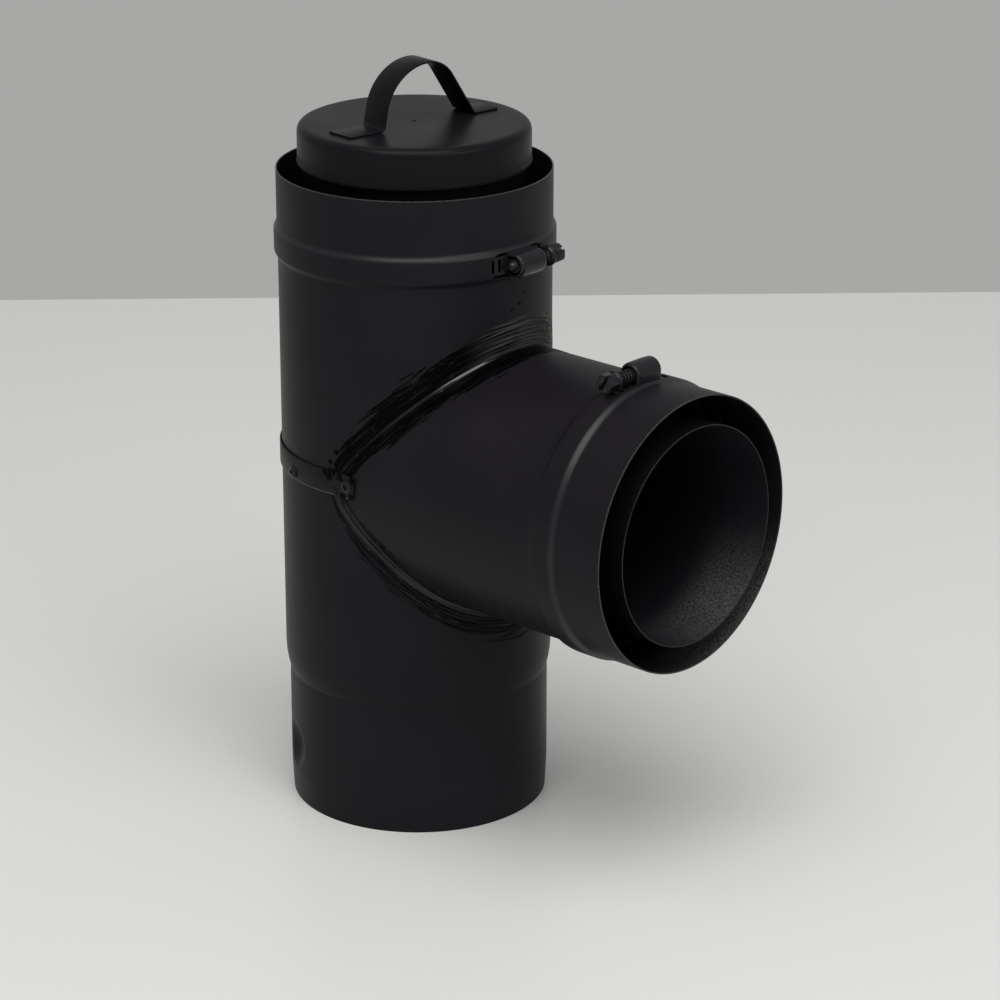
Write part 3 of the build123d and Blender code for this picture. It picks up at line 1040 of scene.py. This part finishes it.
def sealant_patch(name, low, high, seed):
    """One brushed patch between two angles round the branch: a skin, and its underside in the sheet."""
    steps, rows, end_steps = 260, 96, 7
    skin, under, coords = [], [], []
    length = 0.0
    last = seam_point(low, 0, 0)
    for step, angle in enumerate(evenly(low, high, steps)):
        here = seam_point(angle, 0, 0)
        length += (here - last).length
        last = here
        crown = abs(sin(angle)) ** 0.9
        climb = strap_climb(here.z)
        narrow = 1 - 0.6 * climb
        body_reach, branch_reach = (
            narrow * (least + (most - least) * crown) for least, most in (body_width, branch_width)
        )
        ends = min(step, steps - step) / end_steps
        for share in evenly(-1, 1, rows):
            away = share * (body_reach if share < 0 else branch_reach)
            film = film_height(length, away, share, ends, seed) + climb * on_strap
            skin.append(skin_point(angle, away, film))
            under.append(seam_point(angle, away, -film_sink))
            coords.append((length, away))
    wide = rows + 1
    down = len(skin)
    faces = []
    for quad in grid_faces(steps + 1, wide):
        faces += [quad, tuple(corner + down for corner in reversed(quad))]
    rim = list(range(wide))
    rim += [i * wide + rows for i in range(1, steps + 1)]
    rim += [steps * wide + j for j in range(rows - 1, -1, -1)]
    rim += [i * wide for i in range(steps - 1, 0, -1)]
    for a, b in zip(rim, rim[1:] + rim[:1]):
        faces.append((b, a, a + down, b + down))
    patch = mesh_piece(name, skin + under, faces)
    lay_seam_map(patch, coords + coords)
    return outward(patch)


def casing_spot(angle, height):
    """Where a dab lies on the casing: its point at an offset across, up and off the sheet."""
    return lambda across, up, lift: on_main(angle + across / main_r, main_r + lift, height + up)


def tab_spot(on, up_tab):
    """Where a dab lies on the strap's near tab, from its rivet."""
    x = strap_high.x - tab_round + on
    return lambda across, up, lift: (x + across, -branch_r - lift, strap_z + up_tab + up)


def sealant_dabs(name, dabs):
    """Loose dabs: the place of each, its radius and what it stands on."""
    points, coords, faces = [], [], []
    around, rings = 22, 5
    for number, (spot, radius, base) in enumerate(dabs):
        first = len(points)
        for share in evenly(0, 1, rings):
            for turn in full_turn(around):
                ragged = 0.75 + 0.55 * noise.noise(Vector((1.7 * cos(turn), 1.7 * sin(turn), 3.1 * number)))
                across, up = radius * share * ragged * cos(turn), radius * share * ragged * sin(turn)
                bumps = 0.1 * mm * noise.noise(Vector((across, up, number)) / mm)
                lift = base + 0.32 * mm * (1 - share * share) + bumps if share < 1 else base - 0.15 * mm
                points.append(spot(across, up, lift))
                coords.append((across, 4 * mm + up))
        for ring in range(rings):
            faces += ring_faces(first + ring * around, first + (ring + 1) * around, around)
    piece = mesh_piece(name, points, faces)
    lay_seam_map(piece, coords)
    return outward(merge(piece))


def seam_sealant():
    upper = asin((strap_high.z - 2 * mm - branch_z) / branch_r)
    lower = asin((branch_z - strap_low.z - strap_cover) / branch_r)
    above = sealant_patch("seam_sealant_upper", upper, pi - upper, 2.5)
    below = sealant_patch("seam_sealant_lower", pi + lower, 2 * pi - lower, 11.5)
    dabs = (
        (casing_spot(radians(-84.8), 172.4 * mm), 3.4 * mm, on_strap),
        (casing_spot(radians(-87.5), 173.2 * mm), 2.0 * mm, on_strap),
        (casing_spot(radians(-82.2), 174.0 * mm), 2.2 * mm, on_strap),
        (casing_spot(radians(-84.9), 178.4 * mm), 1.5 * mm, 0.0),
        (casing_spot(radians(-81.5), 183.7 * mm), 1.9 * mm, 0.0),
        (casing_spot(radians(1.8), 250.1 * mm), 1.3 * mm, 0.0),
        (casing_spot(radians(4.3), 254.5 * mm), 0.7 * mm, 0.0),
        (casing_spot(radians(-3.0), 248.0 * mm), 0.8 * mm, 0.0),
        (tab_spot(3.1 * mm, 3.4 * mm), 2.3 * mm, on_strap),
        (tab_spot(2.6 * mm, -4.2 * mm), 2.4 * mm, on_strap),
        (tab_spot(-4.4 * mm, 3.4 * mm), 3.6 * mm, on_strap),
        (tab_spot(-2.6 * mm, -5.0 * mm), 2.8 * mm, on_strap),
    )
    loose = sealant_dabs("seam_sealant_dabs", dabs)
    dress(above, "tee_body", "sealant", sealant, "seam_sealant")
    dress(below, "tee_body", "sealant", sealant)
    dress(loose, "tee_body", "sealant", sealant)


# Worm-drive locking bands, in the clamp's own frame: tube axis Z, housing on +X, screw head towards +Y
band_width = 8.5 * mm
band_sheet = 0.55 * mm
band_start = radians(-8)
band_end = radians(388)
tail_start = radians(327)
tail_rise = radians(4)
loop_mid = crest_r - outer_wall - 1.0 * mm
tail_mid = crest_r - outer_wall - 0.37 * mm
slot_count = 17
slot_start = radians(-26)
slot_arc = radians(50)
slot_size = (2 * band_sheet, 6 * mm, 1.6 * mm)

# Hood over the worm
screw_r = top_screw_at.x
hood_r = hood_top - screw_r
hood_sheet = 1.0 * mm
hood_foot = crest_r - outer_wall - 0.65 * mm
hood_swell = 0.35 * mm
hood_fall = 0.2 * mm
hood_clearance = 0.15 * mm
mouth_round = 1.7 * mm
mouth_drop = 1.1 * mm
lip_depth = 3.6 * mm
lip_half = 0.6 * mm
lip_ease = 0.2 * mm
screw_bore = 3.35 * mm

# Worm screw
thread_r = 3.2 * mm
thread_start = 1.9 * mm
worm_core = 2.5 * mm
worm_ridge = 0.55 * mm
worm_pitch = 1.9 * mm
collar_r = 4.7 * mm
collar_sheet = 3 * mm
hex_flats = 8 * mm
hex_length = 5.5 * mm
hex_low = screw_high.y - hex_length
collar_low = hex_low - collar_sheet
driver_slot_half_width = 0.75 * mm
driver_slot_depth = 1.8 * mm


def clamp_band(name, place):
    """Loop inside the bead that steps out to the slotted tail."""
    path = []
    for angle in evenly(band_start, band_end, 264):
        step = min(1.0, max(0.0, (angle - tail_start) / tail_rise))
        radius = loop_mid + (tail_mid - loop_mid) * step * step * (3 - 2 * step)
        path.append((radius * cos(angle), radius * sin(angle)))
    band = strip_piece(name, path, band_width, band_sheet, 0.12 * mm, clip_paint)
    follow(
        band,
        worm_slots,
        {
            "Count": slot_count,
            "Radius": tail_mid,
            "First Angle": slot_start,
            "Arc": slot_arc,
            "Slot": slot_size,
            "Finish": clip_paint,
        },
    )
    band.data.transform(place)
    return band


def worm_lip(middle_y):
    """Ring inside the hood that the worm turns in."""
    outer = hood_r - hood_sheet * 0.8
    line = rounded(
        [
            (screw_bore, -lip_half, 0),
            (outer, -lip_half, 0),
            (outer, lip_half, 0),
            (screw_bore + lip_ease, lip_half, lip_ease),
            (screw_bore, lip_half - lip_ease, 0),
        ],
        2,
    )
    lip = turned("worm_lip", line, 40)
    lip.data.transform(Matrix.Translation((screw_r, middle_y, 0)) @ Matrix.Rotation(-pi / 2, 4, "X"))
    return lip


def clamp_housing(name, place, tail_end, head_end):
    """Hood pressed over the worm, both mouths rounded in, with a lip inside each for the screw."""
    middle = (tail_end + head_end) / 2
    half = (head_end - tail_end) / 2
    runs = [mouth_round * (1 - cos(a)) for a in evenly(0, pi / 2, 8)]
    spots = [tail_end + run for run in runs]
    spots += [middle + part * (half - mouth_round) for part in evenly(-1, 1, 12)[1:-1]]
    spots += [head_end - run for run in reversed(runs)]
    points = []
    for y in spots:
        inwards = max(0.0, 1 - (half - abs(y - middle)) / mouth_round)
        radius = hood_r + hood_swell - hood_fall * ((y - middle) / half) ** 2
        radius -= mouth_drop * (1 - sqrt(max(0.0, 1 - inwards**2)))
        leg = min(radius, window_half_width - hood_clearance)
        flank = [(hood_foot, leg), (crest_r + 0.2 * mm, leg), (screw_r - 1.2 * mm, radius)]
        arch = [(screw_r + radius * cos(a), radius * sin(a)) for a in evenly(pi / 2, -pi / 2, 30)]
        section = flank + arch + [(x, -z) for x, z in reversed(flank)]
        points += [(x, y, z) for x, z in section]
    wide = len(section)
    hood = mesh_piece(name, points, grid_faces(len(spots), wide))
    crown = hood.data.polygons[(wide - 1) * ((len(spots) - 1) // 2) + wide // 2]
    if crown.normal.x < 0:
        hood.data.flip_normals()
    thicken(hood, hood_sheet, 0.3 * mm)
    absorb(hood, worm_lip(tail_end + lip_depth))
    absorb(hood, worm_lip(head_end - lip_depth))
    hood.data.transform(place)
    return hood


def hex_head(slot_turn):
    """Chamfered hexagon with a driver slot, along +Z from 0."""
    corner = hex_flats / sqrt(3)
    count = 72
    levels = (
        (0, 0.985),
        (hex_length - 0.75 * mm, 0.985),
        (hex_length - 0.2 * mm, 0.93),
        (hex_length, 0.84),
    )
    points, faces = [], []
    for height, limit in levels:
        for angle in full_turn(count):
            flat = (angle + pi / 6) % (pi / 3) - pi / 6
            radius = min(hex_flats / 2 / cos(flat), corner * limit)
            points.append((radius * cos(angle), radius * sin(angle), height))
    for level in range(len(levels) - 1):
        faces += ring_faces(level * count, (level + 1) * count, count)
    faces.append(tuple(range(count - 1, -1, -1)))
    faces.append(tuple(range(len(points) - count, len(points))))
    head = mesh_piece("hex_head", points, faces)

    def slot_block(shape):
        half = (driver_slot_half_width, 1.2 * corner, driver_slot_depth)
        bmesh.ops.create_cube(shape, size=2)
        bmesh.ops.scale(shape, vec=half, verts=shape.verts)
        bmesh.ops.rotate(shape, matrix=Matrix.Rotation(slot_turn, 3, "Z"), verts=shape.verts)
        bmesh.ops.translate(shape, vec=(0, 0, hex_length), verts=shape.verts)

    cutter = rework(mesh_piece("driver_slot", [], []), slot_block)
    cut = head.modifiers.new("slot", "BOOLEAN")
    cut.operation = "DIFFERENCE"
    cut.object = cutter
    settle(head)
    bpy.data.objects.remove(cutter)
    ease(head, 0.14 * mm, 2, radians(35))
    return settle(head, radians(40))


def clamp_screw(name, place, slot_turn):
    """Worm screw: threaded shank, collar and slotted hexagon head."""
    tip = screw_low.y
    core = rounded(
        [
            (0, tip, 0),
            (1.5 * mm, tip + 0.2 * mm, 0.7 * mm),
            (worm_core, tip + 1.8 * mm, 0.8 * mm),
            (worm_core, collar_low - 0.4 * mm, 0.5 * mm),
            (worm_core + 0.5 * mm, collar_low, 0),
            (collar_r - 0.9 * mm, collar_low, 0.4 * mm),
            (collar_r, collar_low + 1.0 * mm, 1.0 * mm),
            (collar_r, hex_low - 0.9 * mm, 0.9 * mm),
            (collar_r - 0.7 * mm, hex_low, 0.3 * mm),
            (0, hex_low + 0.02 * mm, 0),
        ],
        4,
    )
    screw = turned(name, core, 48, closed=False)
    head = hex_head(slot_turn)
    head.data.transform(Matrix.Translation((0, 0, hex_low)))
    absorb(screw, head)
    screw.data.transform(Matrix.Translation((0, 0, -tip - thread_start)))
    length = collar_low - tip - thread_start - 0.8 * mm
    follow(
        screw,
        worm_thread,
        {
            "Radius": thread_r - worm_ridge,
            "Length": length,
            "Turns": length / worm_pitch,
            "Ridge": worm_ridge,
            "Finish": screw_paint,
        },
        radians(40),
    )
    about = Matrix.Translation((screw_r, 0, 0)) @ Matrix.Rotation(-pi / 2, 4, "X")
    screw.data.transform(place @ about @ Matrix.Translation((0, 0, tip + thread_start)))
    return screw


def clamps():
    """Both clamps: where each sits, how its driver slot is turned, and the two ends of its hood."""
    top = Matrix.Translation((0, 0, top_screw_at.z))
    branch = Matrix.Translation((branch_screw_at.x, 0, branch_z)) @ Matrix(
        ((0, 0, 1, 0), (0, -1, 0, 0), (1, 0, 0, 0), (0, 0, 0, 1))
    )
    for side, place, slot_turn, hood_ends in (
        ("top", top, radians(48), (-7.2 * mm, 9.2 * mm)),
        ("branch", branch, radians(62), (-10 * mm, 5.8 * mm)),
    ):
        band = clamp_band(side + "_clamp_band_strip", place)
        dress(band, "tee_body", "clip_paint", clip_paint, side + "_clamp_band")
        hood = clamp_housing(side + "_clamp_hood", place, *hood_ends)
        dress(hood, "tee_body", "clip_paint", clip_paint, side + "_clamp_housing")
        screw = clamp_screw(side + "_clamp_worm_screw", place, slot_turn)
        dress(screw, side + "_screw", "screw_paint", screw_paint, side + "_clamp_screw")


# Lift-out cap and its handle
cap_sheet = 0.6 * mm
cap_seat = main_rim + 1.8 * mm
handle_sheet = 0.9 * mm
handle_width = 15 * mm
handle_angle = radians(7.5)
handle_at = (0.7 * mm, -0.5 * mm)
handle_near_reach = 22.4 * mm
handle_near_foot = 19.8 * mm
handle_far_foot = 13.5 * mm
handle_near_r = 23.6 * mm
handle_near_turn = radians(80)
handle_far_r = 15.9 * mm
handle_far_turn = radians(57)


def cap_shell():
    cap_r, top = cap_high.y, cap_high.z
    wall_r = cap_r - 0.3 * mm
    spigot_r = inner_r - inner_wall - 0.3 * mm
    corners = [
        (0, top - 0.55 * mm, 0),
        (0.5 * mm, top - 0.5 * mm, 0.3 * mm),
        (1.2 * mm, top - 0.15 * mm, 0.6 * mm),
        (10 * mm, top - 0.15 * mm, 30 * mm),
        (wall_r - 9 * mm, top, 30 * mm),
        (wall_r, top, 4.2 * mm),
        (wall_r, cap_seat + 3.2 * mm, 6 * mm),
        (cap_r, cap_seat + 1.6 * mm, 1.2 * mm),
        (cap_r, cap_seat, 0.9 * mm),
        (spigot_r, cap_seat, 1 * mm),
        (spigot_r, cap_low.z, 0),
        (spigot_r - cap_sheet, cap_low.z, 0),
        (spigot_r - cap_sheet, cap_seat + cap_sheet, 1.4 * mm),
        (wall_r - cap_sheet, cap_seat + cap_sheet, 0.6 * mm),
        (wall_r - cap_sheet, top - cap_sheet, 3.8 * mm),
        (0, top - cap_sheet, 0),
    ]
    line = divided(rounded(corners, 8), lambda height: 6 * mm)
    shell = turned("cap_shell_spun", line, 240, closed=False)
    dress(shell, "cap", "cap_paint", cap_paint, "cap_shell")


def cap_handle():
    half = handle_sheet / 2
    rise = handle_high.z - handle_low.z - handle_sheet
    leg_top = rise - handle_near_r * (1 - cos(handle_near_turn))
    crown = leg_top / tan(handle_near_turn) + handle_near_r * sin(handle_near_turn) - handle_near_reach
    near_mid, far_mid = handle_near_r + half, handle_far_r + half
    near_arc = [
        (crown - near_mid * sin(a), rise - handle_near_r + near_mid * cos(a))
        for a in evenly(handle_near_turn, 0, 24)
    ]
    far_arc = [
        (crown + far_mid * sin(a), rise - handle_far_r + far_mid * cos(a))
        for a in evenly(0, handle_far_turn, 20)[1:]
    ]
    near_s, near_h = near_arc[0]
    far_s, far_h = far_arc[-1]
    near = near_s - (near_h - half) / tan(handle_near_turn)
    far = far_s + (far_h - half) / tan(handle_far_turn)
    near_end = -handle_near_reach - handle_near_foot
    far_end = far - half * tan(handle_far_turn / 2) + handle_far_foot
    near_bend = rounded([(near_end, half, 0), (near, half, 2.2 * mm), (near_s, near_h, 0)])
    far_bend = rounded([(far_s, far_h, 0), (far, half, 2.6 * mm), (far_end, half, 0)])
    path = [*near_bend[:-1], *near_arc, *far_arc, *far_bend[1:]]
    place = Matrix.Translation((*handle_at, handle_low.z)) @ Matrix(
        (
            (sin(handle_angle), 0, cos(handle_angle), 0),
            (cos(handle_angle), 0, -sin(handle_angle), 0),
            (0, 1, 0, 0),
            (0, 0, 0, 1),
        )
    )
    handle = strip_piece("cap_handle_strip", path, handle_width, handle_sheet, 0.28 * mm, cap_paint, place)
    dress(handle, "cap", "cap_paint", cap_paint, "cap_handle")


def paint_spacers():
    """The hidden clips keep their CAD shape and get their finish."""
    for node in ("lower_spacers", "upper_spacers", "branch_spacers"):
        clips = frame["nodes"][node]
        clips.data.materials.clear()
        clips.data.materials.append(spacer_steel)


outer_main_tube()
outer_branch_tube()
inner_main_tube()
inner_branch_tube()
saddle_strap()
strap_rivets()
seam_sealant()
clamps()
cap_shell()
cap_handle()
paint_spacers()


# Studio
view_turn = radians(42.506)
camera_at = Vector((1.07165, -1.11251, 0.71237))
camera_target = Vector((0.08305, -0.03386, 0.17189))
camera_lens = 127.54
camera_sensor = 36
forward = Vector((-sin(view_turn), cos(view_turn), 0))
sideways = Vector((cos(view_turn), sin(view_turn), 0))
floor_back = 0.788
floor_slant = 0.028
floor_front = 3.0
floor_side = 4.0
ambient_level = 0.4
backdrop_level = 0.39


def seen_rays(start):
    """1 for the rays that show the background: from the camera, from gloss and through glass."""
    camera = start.node("ShaderNodeLightPath", {}, {}, "Is Camera Ray")
    mirrored = start.maths("MAXIMUM", camera, camera.beside("Is Glossy Ray"))
    return start.maths("MAXIMUM", mirrored, camera.beside("Is Transmission Ray"))


def studio_floor():
    """Pale floor that ends in a slightly slanting edge before the backdrop."""
    finish, start, place = new_finish("studio_floor")
    cloud = place.cloud(3.0, 2.0)
    pale = cloud.tint((0.69, 0.695, 0.67, 1), (0.71, 0.715, 0.69, 1))
    close_finish(
        start,
        {
            "Base Color": seen_rays(start).tint(grey(0.7), pale),
            "Roughness": 0.32 + cloud * 0.06,
            "Specular IOR Level": 0.35,
        },
    )
    corners = [
        forward * (floor_back - floor_slant * floor_side) - sideways * floor_side,
        forward * -floor_front - sideways * floor_side,
        forward * -floor_front + sideways * floor_side,
        forward * (floor_back + floor_slant * floor_side) + sideways * floor_side,
    ]
    table = mesh_piece("studio_floor", corners, [(0, 1, 2, 3)])
    table.data.materials.append(finish)


def softbox(name, turn, rise, distance, size, power):
    """Rectangular area lamp that looks at the tee from a turn off the camera's side."""
    lamp = bpy.data.lights.new(name, "AREA")
    lamp.shape = "RECTANGLE"
    lamp.size, lamp.size_y = size
    lamp.energy = power
    box = bpy.data.objects.new(name, lamp)
    side = view_turn + turn
    away = Vector((sin(side) * cos(rise), -cos(side) * cos(rise), sin(rise)))
    box.location = camera_target + away * distance
    box.rotation_euler = away.to_track_quat("Z", "Y").to_euler()
    bpy.context.scene.collection.objects.link(box)


def backdrop():
    """Grey backdrop for the rays that show it, and even soft light for the others."""
    world = bpy.data.worlds.new("studio")
    bpy.context.scene.world = world
    world.use_nodes = True
    world.node_tree.nodes.clear()
    start = Wire(world.node_tree)
    ambient = start.node("ShaderNodeBackground", {}, {"Color": grey(ambient_level), "Strength": 1.0})
    seen = start.node("ShaderNodeBackground", {}, {"Color": grey(backdrop_level, 0.012), "Strength": 1.0})
    mixed = start.node("ShaderNodeMixShader", {}, {0: seen_rays(start), 1: ambient, 2: seen})
    start.node("ShaderNodeOutputWorld", {}, {"Surface": mixed})


def photo_camera():
    camera = bpy.data.cameras.new("photo_camera")
    camera.lens = camera_lens
    camera.sensor_width = camera_sensor
    camera.clip_end = 50
    stand = bpy.data.objects.new("photo_camera", camera)
    stand.location = camera_at
    stand.rotation_euler = (camera_target - camera_at).to_track_quat("-Z", "Y").to_euler()
    bpy.context.scene.collection.objects.link(stand)
    bpy.context.scene.camera = stand


studio_floor()
softbox("key_softbox", radians(-4), radians(65), 2.5, (2.4, 2.0), 56)
softbox("right_softbox", radians(46), radians(28), 2.2, (1.5, 0.6), 9)
backdrop()
photo_camera()
bpy.context.scene.view_settings.view_transform = "Standard"
